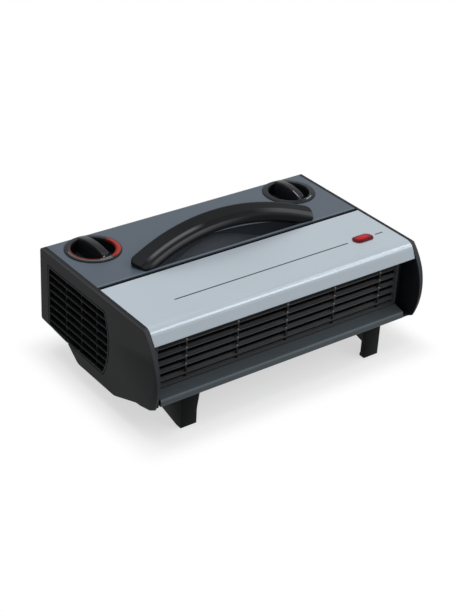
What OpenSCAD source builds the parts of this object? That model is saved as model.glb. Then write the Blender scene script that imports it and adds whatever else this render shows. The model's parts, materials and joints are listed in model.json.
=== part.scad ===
/* [Body] */
// Width over both end caps
body_w = 400; // [370:2:440]
// Depth from the rear panel to the front rim
body_d = 250; // [244:1:262]
// Height of the top cover above the floor
body_top = 145; // [143:1:152]
// Height of the belly above the floor
belly_z = 25.3; // [22:0.1:26]
// Height of the underside behind the belly
under_rear_z = 41.7; // [40:0.1:43]
// Height of the underside at its rear edge
under_edge_z = 46; // [45:0.5:48]
// Height of the underside in front of the belly
under_front_z = 42.5; // [41:0.5:44]
// Thickness of covers and panels
skin = 2; // [1.6:0.1:2.2]
// Clearance where one cover meets another
fit_gap = 0.3; // [0.2:0.05:0.4]

/* [End caps] */
// Width of a cap's rim, measured across the heater
cap_rim = 6; // [5:0.5:8]
// Thickness of a cap's face and rim wall
cap_wall = 2.5; // [2:0.1:3]
// Radius of the rounded front of a cap
front_r = 84; // [80:1:90]
// Distance from the top to the centre of the rounded front
front_drop = 62; // [58:1:66]
// Slope of the bevel around the rounded front, as depth over width
bevel_slope = 0.36; // [0.2:0.02:0.4]
// Reach of the tongue that locates the covers
tongue_reach = 9; // [6:1:12]
// Thickness of the tongue
tongue_t = 2.2; // [1.8:0.1:2.6]

/* [Intake louvres] */
// Number of rows of slots
louvre_rows = 8; // [6:1:8]
// Distance between rows
louvre_pitch = 10.65; // [9.5:0.05:10.8]
// Height of a slot
louvre_slot = 6.8; // [5:0.1:7.4]
// Distance from the top to the first row's centre
louvre_drop = 23; // [21:0.5:25]
// Distance from the rear panel to the slots
louvre_rear = 20; // [16:1:26]
// Distance between upright ribs
louvre_rib_pitch = 34; // [30:1:38]
// Width of an upright rib
louvre_rib = 3; // [2:0.5:4]
// Depth of an upright rib behind the face
louvre_rib_depth = 4; // [2:0.5:6]

/* [Top cover and front panel] */
// Distance from the rear panel to the seam
seam_y = 120.5; // [119.5:0.5:126]
// Width of the seam's channel
seam_gap = 3.8; // [2.5:0.1:4.5]
// Depth of the seam's channel
seam_depth = 3; // [2:0.1:4]
// Depth of the turned-down edges at the seam
seam_flange = 6; // [4:0.5:8]
// Radius of the top cover's rear bend
rear_bend_r = 5; // [3:0.5:7]
// Depth of the top cover's rear flange
rear_flange = 12; // [9:1:15]
// Radius of the front panel's nose
nose_r = 14; // [10:1:16]
// Distance from the top to the lip
lip_drop = 19; // [17:0.5:20]
// Slope of the nose, as its run from the top edge to the lip
nose_run = 10.3; // [8:0.1:12]

/* [Dials] */
// Distance from the body's end to the dial centres
dial_side = 50.5; // [48:0.5:56]
// Distance from the rear panel to the dial centres
dial_y = 38; // [37:0.5:40]
// Diameter of a dial ring
dial_d = 70; // [68:1:72]
// Height of a dial ring above the cover
dial_rise = 1.8; // [1:0.1:2.5]
// Width of the sloping band of a dial ring
dial_band = 8; // [7:0.5:9.5]
// Depth of a dial well below the cover
well_depth = 16; // [13:0.5:17]
// Gap between a knob and its well
well_gap = 0.8; // [0.6:0.1:1.6]
// Height of a knob's grip above the cover
grip_rise = 10; // [7:0.5:12]
// Width of a knob's grip at its top
grip_top_w = 9.5; // [8:0.5:10.5]
// Width of a knob's grip at its foot
grip_foot_w = 12.5; // [11:0.5:15]
// Radius of the arch of a knob's grip
grip_arch_r = 85; // [60:5:120]
// Thickness of a knob's disc
disc_t = 3; // [2:0.5:4]
// Turn of the thermostat knob from straight ahead
thermostat_turn = -3; // [-12:1:12]
// Turn of the selector knob from straight ahead
selector_turn = 2; // [-12:1:12]
// Radius of a switch spindle
spindle_r = 3; // [2.5:0.1:3.5]
// Running clearance around a spindle or shaft
run_gap = 0.05; // [0.03:0.01:0.08]

/* [Handle] */
// Distance between the handle's ends
handle_w = 266; // [256:2:276]
// Radius of the handle's arch
handle_arch_r = 320; // [300:5:350]
// Radius of the handle's ends seen from above
handle_end_r = 15; // [12:0.5:16]
// Radius of the handle's noses seen from the front
handle_nose_r = 12; // [9:0.5:14]
// Tilt of the handle's arch from level
handle_tilt = 60; // [56:1:64]
// Distance from the rear panel to the handle's rear edge at the middle
handle_rear = 77; // [76:0.5:79]
// Height of the handle's rear edge above the cover at the middle
handle_rise = 35; // [33:0.5:38]
// Distance from the handle's end to the end of the hand recess
recess_side = 28; // [26:1:35]
// Radius of the rear edge of the hand recess
recess_r = 225; // [215:5:260]
// Distance from the rear panel to the hand recess
recess_rear = 79; // [78:0.5:82]
// Depth of the hand recess
recess_depth = 27; // [22:0.5:28]
// Thickness of the recess tray
tray_t = 2; // [1.6:0.1:2.4]

/* [Outlet] */
// Distance from the body's end to the grille
grille_side = 18; // [17:0.5:30]
// Distance from the front rim to the back of the grille
grille_in = 42; // [40:0.5:44]
// Depth of the grille
grille_depth = 14; // [12:0.5:15]
// Number of slats
slat_count = 6; // [5:1:6]
// Distance between slats
slat_pitch = 10.8; // [10:0.1:11]
// Height of the lowest slat above the floor
slat_low_z = 67.5; // [65:0.5:69]
// Thickness of a slat
slat_t = 2; // [1.5:0.1:2.5]
// Drop of a slat's front edge
slat_fall = 2; // [0:0.5:3]
// Number of upright grille bars
bar_count = 5; // [3:2:7]
// Width of an upright grille bar
bar_w = 3; // [2:0.5:4]
// Distance from the body's end to the lower trim
trim_side = 16.5; // [16:0.5:30]
// Thickness of the lower trim
trim_t = 1.6; // [1.2:0.1:1.8]
// Height of the trim's ledge at the grille
ledge_back_z = 59.2; // [58:0.2:60]
// Height of the trim's bend
ledge_front_z = 53.4; // [52:0.2:55]

/* [Indicator] */
// Distance from the body's end to the lamp
lamp_side = 52.5; // [40:0.5:70]
// Distance from the front rim to the lamp
lamp_in = 62.5; // [55:0.5:70]
// Length of the lamp's lens
lens_l = 30; // [26:0.5:34]
// Width of the lamp's lens
lens_w = 16; // [13:0.5:18]
// Height of the lens above the panel
lens_rise = 2.4; // [1.5:0.1:3.5]

/* [Feet] */
// Distance from the body's end to a foot's outer side
foot_side = 48.5; // [35:0.5:60]
// Width of a foot at its sole
foot_w = 22.5; // [18:0.5:28]
// Flare of a foot's inner edge at its top
foot_flare = 4.5; // [2:0.5:7]
// Distance from the front rim to the front feet's faces
front_foot_in = 18; // [16:0.5:22]
// Distance from the rear panel to the rear feet's faces
rear_foot_y = 12; // [8:1:20]
// Wall thickness of a foot
foot_wall = 3; // [2.5:0.1:3.5]
// Length of a foot's sole
sole_l = 9; // [8:0.5:14]
// Length of a foot's outer wall
foot_top_l = 39; // [34:1:42]
// Height of the lower edge of a foot's outer wall at its end
foot_heel_z = 7.5; // [5:0.5:10]
// Thickness of a foot's sole
sole_t = 4.5; // [3:0.5:6]

/* [Fan] */
// Distance from the blowers' mouths to the fan axis
fan_in = 47; // [46:0.5:49]
// Height of the fan axis above the floor
fan_z = 72; // [71.5:0.5:72.5]
// Radius of an impeller
impeller_r = 33; // [30:0.5:33.5]
// Length of an impeller
impeller_l = 50; // [44:1:54]
// Number of blades on an impeller
blade_count = 24; // [16:2:30]
// Depth of a blade
blade_depth = 7; // [5:0.5:8]
// Thickness of a blade
blade_t = 1; // [0.8:0.1:1.4]
// Radius of the fan shaft
shaft_r = 3; // [2.5:0.1:3.5]
// Distance from the middle to a blower housing
blower_x = 44; // [42:1:48]
// Smallest radius of a blower housing
scroll_r0 = 35.5; // [35:0.1:36.5]
// Largest radius of a blower housing
scroll_r1 = 42; // [40:0.5:42]

/* [Motor] */
// Radius of the rotor
rotor_r = 15.6; // [13:0.1:17]
// Air gap between rotor and stator
air_gap = 0.5; // [0.3:0.1:0.7]
// Thickness of the stator stack
stack_t = 24; // [18:1:26]
// Height of the stator stack
stack_h = 52; // [48:1:56]
// Reach of a motor bracket beyond the stack
bracket_reach = 14; // [12:1:16]

/* [Heater] */
// Diameter of an element's tube
element_d = 6; // [5:0.5:7]
// Distance between an element's two runs
element_gap = 14; // [12:0.5:15]
// Number of mica boards
mica_count = 5; // [3:2:7]
// Thickness of a mica board
mica_t = 1; // [0.5:0.1:1.5]
// Distance from the duct's end to the elements' bends
run_side = 16; // [13:1:24]
// Depth of the outlet duct
duct_depth = 43; // [42:0.5:45]
// Wall of the outlet duct
duct_wall = 1.5; // [1.2:0.1:1.8]

/* [Fixings] */
// Radius of the cord's bore in its gland
cord_r = 4; // [3:0.1:4.5]
// Distance from the body's end to the cord gland
gland_side = 50; // [40:1:70]
// Height of the cord gland above the floor
gland_z = 74; // [73:1:84]
// Height of the gland's flange behind the rear panel
gland_out = 2; // [1:0.5:4]
// Radius of a screw's shank
screw_r = 1.9; // [1.5:0.1:2.2]
// Radius of a screw's head
screw_head_r = 3.8; // [3:0.1:4.5]
// Length of the screws in the rear panel
rear_screw_l = 8; // [6:1:10]
// Length of the screws in the feet
foot_screw_l = 14; // [12:1:16]

/* [Hidden] */
$fn = 64;

// Places that several pieces share, in side view: y runs back from the rear panel's
// outer face as a negative number towards the front, z runs up from the floor
half_w = body_w / 2;
shell_half_w = half_w - cap_rim;
cover_half_w = shell_half_w - fit_gap;
rear_y = (body_d - gland_out) / 2;
front_c = [front_r - body_d, body_top - front_drop];
front_spare = 8;
chin_rise = 14;
bevel_c = [front_c[0] - 13.3, front_c[1] + 13.8];
bevel_r = front_r - 17.2;
grille_half_w = half_w - grille_side;
grille_back = body_d - grille_in;
bar_pitch = 2 * grille_half_w / bar_count;
trim_half_w = half_w - trim_side;
nose_y = -grille_back - 18;
lip_z = body_top - lip_drop;
tongue_inset = skin + fit_gap;
tongue_front_y = -grille_back - 3.5;
tongue_x = shell_half_w - tongue_reach;
dial_x = half_w - dial_side;
lamp_x = half_w - lamp_side;
lamp_y = body_d - lamp_in;
foot_outer_x = half_w - foot_side;
front_foot_y = body_d - front_foot_in;
gland_x = half_w - gland_side;
well_r = dial_d / 2 - dial_band;
ring_body_r = dial_d / 2 - 2;
floor_z = body_top - well_depth;
ring_floor_t = 2;
bush_r = spindle_r + 1.8;
disc_z = floor_z + 0.4;
grip_l = 2 * (well_r - well_gap);
grip_z = disc_z + disc_t;
spindle_top = disc_z + 7;
spindle_low = floor_z - 17;
switch_h = 22;
switch_top = floor_z - ring_floor_t;
lens_plug = [lens_l - 4.6, lens_w - 4];
plug_depth = 6;
lamp_body_h = 8.5;

// Fan axis, the stack before and behind it, and its cradle
mouth_y = grille_back - duct_depth;
fan_y = mouth_y - fan_in;
stack_front = 26;
stack_rear = 48;
cradle_l = stack_rear;
cradle_edge = 8;

// Underside corners from front to rear, each with its rounding
under_path = [
    [-body_d + 16, under_front_z + 0.9, 4],
    [-body_d + 38, under_front_z, 25],
    [-body_d + 85, belly_z, 20],
    [-fan_y + 33, belly_z, 14],
    [-fan_y + 56.5, under_rear_z, 8],
    [0, under_edge_z, 3]
];
base_front_y = -body_d + 23.6;
pan_flange = 14;

// Blower, motor and heater places
stator_y0 = -fan_y - stack_front;
stator_y1 = -fan_y + stack_rear;
leg_w = 12;
window_w = 12;
coil_gap = 0.3;
bracket_t = 2;
bracket_w = 16;
shaft_half_l = blower_x + impeller_l + 8;
blower_l = impeller_l + 14;
impeller_x = blower_x + 7;
scroll_wall = 2;
mouth_low_z = fan_z;
mouth_high_z = fan_z + scroll_r1;
stack_low_z = fan_z - stack_h / 2;
duct_half_w = grille_half_w;
duct_low_z = ledge_back_z - 2.2;
duct_high_z = lip_z + skin;
element_low_z = duct_low_z + 21;
element_high_z = element_low_z + element_gap + 12;
element_y = -grille_back + 16;
mica_w = 24;
run_half_w = duct_half_w - run_side;
mica_pitch = 2 * (run_half_w - 6) / (mica_count - 1);
cutout_r = 8;
block_size = [50, 16, 14];
block_place = [-80, 78];
block_hole_r = 3;
block_pitch = 12;

// Plane geometry
function unit(v) = v / norm(v);
function to_left(v) = [-v[1], v[0]];
function xy(p) = [p[0], p[1]];
function line_z(a, b, y) = a[1] + (b[1] - a[1]) * (y - a[0]) / (b[0] - a[0]);

// The points of a fillet of radius r at corner q between p and s
function fillet(p, q, s, r, steps = 6) =
    let (u = unit(p - q), w = unit(s - q), half = acos(u * w) / 2,
        c = q + unit(u + w) * r / sin(half), start = q + u * r / tan(half) - c,
        a0 = atan2(start[1], start[0]), turn = 180 - 2 * half,
        way = cross(q - p, s - q) > 0 ? 1 : -1)
    [for (i = [0:steps]) let (a = a0 + way * turn * i / steps) c + r * [cos(a), sin(a)]];

// A closed outline whose corners [y, z, r] are rounded, with r 0 for a sharp corner
function rounded(pts) =
    let (n = len(pts))
    [for (i = [0:n - 1]) each pts[i][2] > 0
        ? fillet(xy(pts[(i + n - 1) % n]), xy(pts[i]), xy(pts[(i + 1) % n]), pts[i][2])
        : [xy(pts[i])]];

// One corner moved t to the left of the path that runs p, q, s
function moved(p, q, s, t) =
    let (u = unit(xy(q) - xy(p)), w = unit(xy(s) - xy(q)), turn = cross(u, w),
        at = xy(q) + (to_left(u) + to_left(w)) * t / (1 + u * w),
        r = q[2] > 0 ? max(0, q[2] - (turn > 0 ? t : -t)) : 0)
    [at[0], at[1], r];

// A closed outline drawn in by t
function inset(pts, t) =
    let (n = len(pts))
    [for (i = [0:n - 1]) moved(pts[(i + n - 1) % n], pts[i], pts[(i + 1) % n], t)];

// A bent sheet of thickness t to the left of an open path
function sheet(path, t) =
    let (n = len(path), first = unit(xy(path[1]) - xy(path[0])),
        last = unit(xy(path[n - 1]) - xy(path[n - 2])),
        a = xy(path[0]) + to_left(first) * t, b = xy(path[n - 1]) + to_left(last) * t,
        inner = [[a[0], a[1], 0], for (i = [1:n - 2]) moved(path[i - 1], path[i], path[i + 1], t),
            [b[0], b[1], 0]])
    rounded(concat(path, [for (i = [n - 1:-1:0]) inner[i]]));

// The corners of the body's side, anticlockwise from the front of the underside, which
// run past the rounded front
side_corners = concat(under_path, [[0, body_top, rear_bend_r],
    [-body_d - front_spare, body_top, 0], [-body_d - front_spare, under_front_z + chin_rise, 0]]);

// The side of the body with its rounded front, drawn in by t
module side_shape(t) {
    intersection() {
        polygon(rounded(inset(side_corners, t)));
        union() {
            translate(front_c) circle(r = front_r - t, $fn = 180);
            translate([front_c[0], 0]) square([body_d, body_top]);
        }
    }
}

// Placing helpers
module in_place() { translate([0, rear_y, 0]) children(); }
module across(x0, x1) {
    translate([x0, 0, 0]) rotate([90, 0, 90]) linear_extrude(x1 - x0) children();
}
module other_side(side) { mirror([side < 0 ? 1 : 0, 0, 0]) children(); }
module along_x(x0, x1, r, y, z) {
    translate([x0, y, z]) rotate([0, 90, 0]) cylinder(h = x1 - x0, r = r);
}
module slot_shape(l, w) {
    square([l - w, w], center = true);
    for (s = [-1, 1]) translate([s * (l - w) / 2, 0]) circle(d = w);
}

// Screw with a round head, standing on its head's seat and pointing along +Z
module screw(l) {
    cylinder(h = l, r = screw_r);
    translate([0, 0, -2]) cylinder(h = 2, r = screw_head_r);
}
module screw_hole(l) { translate([0, 0, -l]) cylinder(h = 2 * l, r = screw_r + 0.1); }

// Where the screws stand
handle_screw_x = handle_w / 2 - 14;
handle_screw_y = -105;
rear_screw_side = 25;
rear_screw_inner_x = 60;
rear_screw_xs = [-half_w + rear_screw_side, -rear_screw_inner_x, rear_screw_inner_x,
    half_w - rear_screw_side];
rear_screw_z = under_edge_z + 8;
foot_screw_dx = foot_w / 2;
foot_screw_in = 24;

// Handle and hand recess
recess_half_w = handle_w / 2 - recess_side;
recess_front_y = -seam_y + 5;
recess_c = -recess_rear - recess_r;
scoop_y = recess_front_y + 3.5;
scoop_r = recess_depth + 8;
scoop_z = body_top + 8;

module recess_shape(grow) {
    intersection() {
        translate([0, recess_c]) circle(r = recess_r + grow, $fn = 180);
        translate([-recess_half_w - grow, recess_front_y - grow])
            square([2 * (recess_half_w + grow), recess_r]);
    }
}

// Section of the handle at its middle, as [y, z] from the rear edge: a broad top that
// falls to the front, a ridge, a groove, a second ridge and a thin front edge
handle_section = [
    [0, 0, 4], [-19, -5, 1.5], [-22.5, -7.6, 1.5], [-26.5, -8, 2.5],
    [-29, -16.2, 2], [-23, -20.5, 3], [-1, -15, 5]
];

// Centre of a nose, placed so that its round starts where the arch's slope is the same
function arch_drop(x) =
    (handle_arch_r - sqrt(pow(handle_arch_r, 2) - pow(x, 2))) * sin(handle_tilt);
nose_x = handle_w / 2 - handle_nose_r;
nose_slope = atan(sin(handle_tilt) * nose_x / sqrt(pow(handle_arch_r, 2) - pow(nose_x, 2)));
nose_start_x = nose_x + handle_nose_r * sin(nose_slope);
nose_z = handle_rise - arch_drop(nose_start_x) - handle_nose_r * cos(nose_slope);

module handle_sweep() {
    up = [cos(handle_tilt), sin(handle_tilt)];
    centre = [-handle_rear, body_top + handle_rise] - up * handle_arch_r;
    half_angle = asin((handle_w / 2 + 2) / handle_arch_r);
    translate([0, centre[0], centre[1]]) rotate([handle_tilt, 0, 0]) rotate([0, 0, 90 - half_angle])
        rotate_extrude(angle = 2 * half_angle, $fn = 360)
            translate([handle_arch_r, 0]) rotate(-handle_tilt) polygon(rounded(handle_section));
}

module handle() {
    color("#26282a") in_place() difference() {
        intersection() {
            handle_sweep();
            translate([0, 0, body_top]) linear_extrude(handle_rise + 10) union() {
                translate([-handle_w / 2 + handle_end_r, -seam_y + 2])
                    square([handle_w - 2 * handle_end_r, seam_y]);
                for (s = [-1, 1]) translate([s * (handle_w / 2 - handle_end_r), -seam_y + 2 + handle_end_r])
                    circle(r = handle_end_r);
            }
            translate([0, 0, body_top]) rotate([90, 0, 0]) linear_extrude(seam_y) union() {
                translate([-nose_start_x, 0]) square([2 * nose_start_x, handle_rise + 10]);
                translate([-handle_w / 2, 0]) square([handle_w, max(nose_z, 0.1)]);
                for (s = [-1, 1]) translate([s * nose_x, nose_z]) circle(r = handle_nose_r);
            }
        }
        for (s = [-1, 1]) translate([s * handle_screw_x, handle_screw_y, body_top])
            cylinder(h = 3, r = screw_r);
    }
}

module handle_recess() {
    color("#2c2f33") in_place() intersection() {
        translate([0, 0, body_top - recess_depth - 8])
            linear_extrude(recess_depth + 8 - skin) recess_shape(tray_t);
        difference() {
            along_x(-half_w, half_w, scoop_r + tray_t, scoop_y, scoop_z);
            intersection() {
                along_x(-half_w, half_w, scoop_r, scoop_y, scoop_z);
                translate([0, 0, body_top - recess_depth - 10]) linear_extrude(recess_depth + 20)
                    recess_shape(0);
            }
        }
    }
}

// Covers
module top_cover() {
    color("#646b73") in_place() difference() {
        across(-cover_half_w, cover_half_w) polygon(sheet([
            [0, body_top - rear_flange, 0], [0, body_top, rear_bend_r],
            [-seam_y, body_top, 1.5], [-seam_y, body_top - seam_flange, 0]], skin));
        for (s = [-1, 1]) translate([s * dial_x, -dial_y, body_top - 5])
            cylinder(h = 10, r = ring_body_r + fit_gap);
        translate([0, 0, body_top - 5]) linear_extrude(10) recess_shape(0);
        for (s = [-1, 1]) translate([s * handle_screw_x, handle_screw_y, body_top]) screw_hole(5);
    }
}

module front_panel() {
    color("#c3cbd3") in_place() difference() {
        across(-cover_half_w, cover_half_w) polygon(sheet([
            [-seam_y - fit_gap, body_top - seam_depth, 0],
            [-seam_y - seam_gap, body_top - seam_depth, 0.5], [-seam_y - seam_gap, body_top, 1],
            [nose_y, body_top, nose_r], [nose_y - nose_run, lip_z, 0.8],
            [-grille_back - grille_depth - fit_gap, lip_z, 0]], skin));
        translate([lamp_x, -lamp_y, body_top - 5]) linear_extrude(10)
            slot_shape(lens_plug[0] + 2 * fit_gap, lens_plug[1] + 2 * fit_gap);
    }
}

module rear_panel() {
    low_z = under_edge_z + fit_gap;
    color("#3c3f42") in_place() difference() {
        translate([-cover_half_w, -skin, low_z])
            cube([2 * cover_half_w, skin, body_top - rear_flange - fit_gap - low_z]);
        translate([-gland_x, 1, gland_z]) rotate([90, 0, 0]) cylinder(h = skin + 2, r = cord_r + 4.2);
        for (x = rear_screw_xs) translate([x, 0, rear_screw_z]) rotate([90, 0, 0]) screw_hole(5);
    }
}

module base_pan() {
    wall_y = -skin - fit_gap;
    edge_z = line_z(under_path[4], under_path[5], wall_y);
    path = concat([[base_front_y, line_z(under_path[0], under_path[1], base_front_y), 0]],
        [for (i = [1:4]) under_path[i]], [[wall_y, edge_z, 2.5], [wall_y, edge_z + pan_flange, 0]]);
    color("#34373a") in_place() difference() {
        across(-cover_half_w, cover_half_w) polygon(sheet(path, skin));
        for (s = [-1, 1], y = foot_screw_ys)
            translate([s * (foot_outer_x - foot_screw_dx), y, under_edge_z]) screw_hole(foot_screw_l - 2);
        for (x = rear_screw_xs) translate([x, 0, rear_screw_z]) rotate([90, 0, 0]) screw_hole(rear_screw_l);
    }
}

module lower_trim() {
    back_y = -grille_back - 6;
    floor_at_back = line_z(under_path[0], under_path[1], back_y) + skin + fit_gap;
    end_y = base_front_y - fit_gap;
    color("#4c545b") in_place() across(-trim_half_w, trim_half_w) polygon(sheet([
        [back_y, floor_at_back, 0], [back_y, ledge_back_z, 2],
        [back_y - 22.5, ledge_front_z, 2.5], [back_y - 24.4, under_front_z + 2.5, 2],
        [end_y, line_z(under_path[0], under_path[1], end_y), 0]], trim_t));
}

// End cap: a moulded cover with a tongue inside the shell, a thick rim around the outlet,
// a chamfered front and rows of intake slots behind shallow upright ribs
louvre_c = [-62, body_top - 58];
louvre_front_r = 89;
louvre_top = body_top - louvre_drop + louvre_slot / 2;
louvre_h = (louvre_rows - 1) * louvre_pitch + louvre_slot;

module louvre_field(grow) {
    intersection() {
        translate(louvre_c) circle(r = louvre_front_r + grow, $fn = 120);
        translate([-body_d, louvre_top - louvre_h - grow])
            square([body_d - louvre_rear + grow, louvre_h + 2 * grow]);
    }
}

module louvre_slots() {
    intersection() {
        louvre_field(0);
        for (row = [0:louvre_rows - 1])
            translate([-body_d, louvre_top - louvre_slot - row * louvre_pitch])
                square([body_d, louvre_slot]);
    }
}

module louvre_ribs() {
    for (i = [1:3])
        translate([-louvre_rear - i * louvre_rib_pitch - louvre_rib / 2, louvre_top - louvre_h - 1])
            square([louvre_rib, louvre_h + 2]);
}

// A conical cut, off the rounded front's centre, so that the bevel widens towards the floor
module front_bevel() {
    inner_r = bevel_r - 3;
    outer_r = bevel_r + 30;
    translate([0, bevel_c[0], bevel_c[1]]) rotate([90, 0, 90]) rotate([0, 0, 90])
        rotate_extrude(angle = 180, $fn = 180) polygon([
            [inner_r, half_w + 3 * bevel_slope], [outer_r, half_w - 30 * bevel_slope],
            [outer_r, half_w + 3 * bevel_slope]]);
}

// Where the tongue makes way for the seam's flanges and for the base pan's rear flange
module tongue_notches() {
    translate([-seam_y - seam_gap - skin - fit_gap, body_top - 2 * tongue_inset - tongue_t])
        square([seam_gap + 2 * (skin + fit_gap), 2 * tongue_inset + tongue_t]);
    translate([-2 * tongue_inset, 0]) square([2 * tongue_inset, under_edge_z + pan_flange + 1]);
}

module end_cap(side) {
    color("#2a2b2d") in_place() other_side(side) {
        difference() {
            union() {
                across(half_w - cap_wall, half_w) difference() {
                    side_shape(0);
                    difference() {
                        louvre_slots();
                        louvre_ribs();
                    }
                }
                across(shell_half_w, half_w - 1) difference() {
                    side_shape(0);
                    intersection() {
                        side_shape(cap_wall);
                        translate([tongue_front_y, 0]) square([body_d, body_top]);
                    }
                }
                across(tongue_x, half_w - 1) difference() {
                    intersection() {
                        side_shape(tongue_inset);
                        translate([tongue_front_y - cap_wall, 0]) square([body_d, body_top]);
                    }
                    intersection() {
                        side_shape(tongue_inset + tongue_t);
                        translate([tongue_front_y, 0]) square([body_d, body_top]);
                    }
                    tongue_notches();
                }
                across(half_w - cap_wall - louvre_rib_depth, half_w - 1) intersection() {
                    louvre_ribs();
                    louvre_field(1);
                }
                across(tongue_x + 1, half_w - 1) intersection() {
                    side_shape(0);
                    translate([-front_foot_y - 4, 0])
                        square([base_front_y - fit_gap + front_foot_y + 4, under_front_z + 5]);
                }
            }
            front_bevel();
            translate([half_w, -body_d, body_top]) rotate([0, 45, 0])
                translate([-1.1, 0, -1.1]) cube([2.2, body_d, 2.2]);
            across(half_w - 0.8, half_w + 1) difference() {
                louvre_field(3.2);
                louvre_field(2);
            }
        }
    }
}
module left_end_cap() { end_cap(-1); }
module right_end_cap() { end_cap(1); }

// Outlet grille: slats that fall to the front, upright bars and a frame
module outlet_grille() {
    top_z = lip_z + skin;
    low_z = ledge_back_z - 2;
    front_y = -grille_back - grille_depth;
    color("#17181a") in_place() {
        for (i = [0:slat_count - 1]) {
            z = slat_low_z + i * slat_pitch;
            across(-grille_half_w, grille_half_w) polygon([
                [-grille_back, z + slat_fall / 2], [-grille_back, z + slat_fall / 2 + slat_t],
                [front_y, z - slat_fall / 2 + slat_t], [front_y, z - slat_fall / 2]]);
        }
        for (i = [0:bar_count - 1])
            translate([(i - (bar_count - 1) / 2) * bar_pitch - bar_w / 2, front_y + 0.6, ledge_back_z + 2])
                cube([bar_w, grille_depth - 0.6, lip_z - ledge_back_z - 2]);
        for (s = [-1, 1]) translate([s * (grille_half_w - 1.5) - 1.5, front_y, ledge_back_z + 2])
            cube([3, grille_depth, lip_z - ledge_back_z - 2]);
        translate([-grille_half_w, front_y, lip_z]) cube([2 * grille_half_w, grille_depth, skin]);
        translate([-grille_half_w, -grille_back - 5.7, low_z])
            cube([2 * grille_half_w, 5.7, ledge_back_z + 3 - low_z]);
    }
}

// Dials, knobs and the switches under them
module dial_ring(side) {
    translate([side * dial_x, -dial_y, 0]) rotate_extrude($fn = 96) polygon([
        [bush_r + 0.2, switch_top], [ring_body_r, switch_top], [ring_body_r, body_top],
        [dial_d / 2, body_top], [dial_d / 2, body_top + 0.5], [dial_d / 2 - 0.6, body_top + 1],
        [well_r + 0.8, body_top + dial_rise], [well_r, body_top + dial_rise - 0.6],
        [well_r, floor_z], [bush_r + 0.2, floor_z]]);
}
module thermostat_dial_ring() { color("#3a2020") in_place() dial_ring(-1); }
module selector_dial_ring() { color("#2a2c2f") in_place() dial_ring(1); }

// Bar across a knob's disc, with tapered sides and an arched top
module grip() {
    top_z = body_top + grip_rise;
    low_z = grip_z - 0.5;
    intersection() {
        across(-grip_l / 2, grip_l / 2) polygon(rounded([
            [-grip_foot_w / 2, low_z, 0], [grip_foot_w / 2, low_z, 0],
            [grip_top_w / 2, top_z, 1.5], [-grip_top_w / 2, top_z, 1.5]]));
        translate([0, 0, low_z - 1]) cylinder(h = top_z, r = grip_l / 2);
        translate([0, 0, top_z - grip_arch_r]) rotate([90, 0, 0])
            cylinder(h = 2 * grip_foot_w, r = grip_arch_r, center = true, $fn = 240);
    }
}

module knob(side, turn) {
    translate([side * dial_x, -dial_y, 0]) rotate([0, 0, 90 - turn]) difference() {
        union() {
            translate([0, 0, disc_z]) cylinder(h = disc_t, r = grip_l / 2);
            grip();
        }
        translate([0, 0, disc_z - 1]) cylinder(h = spindle_top - disc_z + 1, r = spindle_r);
    }
}
module thermostat_knob() { color("#222426") in_place() knob(-1, thermostat_turn); }
module selector_knob() { color("#222426") in_place() knob(1, selector_turn); }

module spindle(side) {
    translate([side * dial_x, -dial_y, spindle_low]) cylinder(h = spindle_top - spindle_low, r = spindle_r);
}
module thermostat_spindle() { color("#b8bcc0") in_place() spindle(-1); }
module selector_spindle() { color("#b8bcc0") in_place() spindle(1); }

module switch_body(side, w, l) {
    translate([side * dial_x, -dial_y, 0]) difference() {
        union() {
            translate([-w / 2, -l / 2, switch_top - switch_h]) cube([w, l, switch_h]);
            translate([0, 0, switch_top - 1]) cylinder(h = ring_floor_t + 1, r = bush_r);
            for (i = [-1, 1]) translate([i * w / 4 - 3, -0.4, switch_top - switch_h - 7]) cube([6, 0.8, 8]);
        }
        translate([0, 0, spindle_low - 1]) cylinder(h = 40, r = spindle_r + run_gap);
    }
}
module thermostat_body() { color("#8a6a48") in_place() switch_body(-1, 36, 24); }
module selector_switch_body() { color("#d8d4c8") in_place() switch_body(1, 32, 32); }

// Indicator lamp
module indicator_lens() {
    color("#c0202c") in_place() translate([lamp_x, -lamp_y, body_top]) {
        linear_extrude(lens_rise - 0.8) slot_shape(lens_l, lens_w);
        linear_extrude(lens_rise) slot_shape(lens_l - 3, lens_w - 3);
        translate([0, 0, -plug_depth]) linear_extrude(plug_depth) slot_shape(lens_plug[0], lens_plug[1]);
    }
}
module indicator_body() {
    color("#e0dccf") in_place() translate([lamp_x, -lamp_y, body_top - plug_depth - lamp_body_h]) {
        translate([0, 0, 2]) linear_extrude(lamp_body_h - 2) slot_shape(lens_plug[0], lens_plug[1]);
        for (s = [-1, 1]) translate([s * 6 - 2.4, -0.4, 0]) cube([4.8, 0.8, 3]);
    }
}

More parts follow.
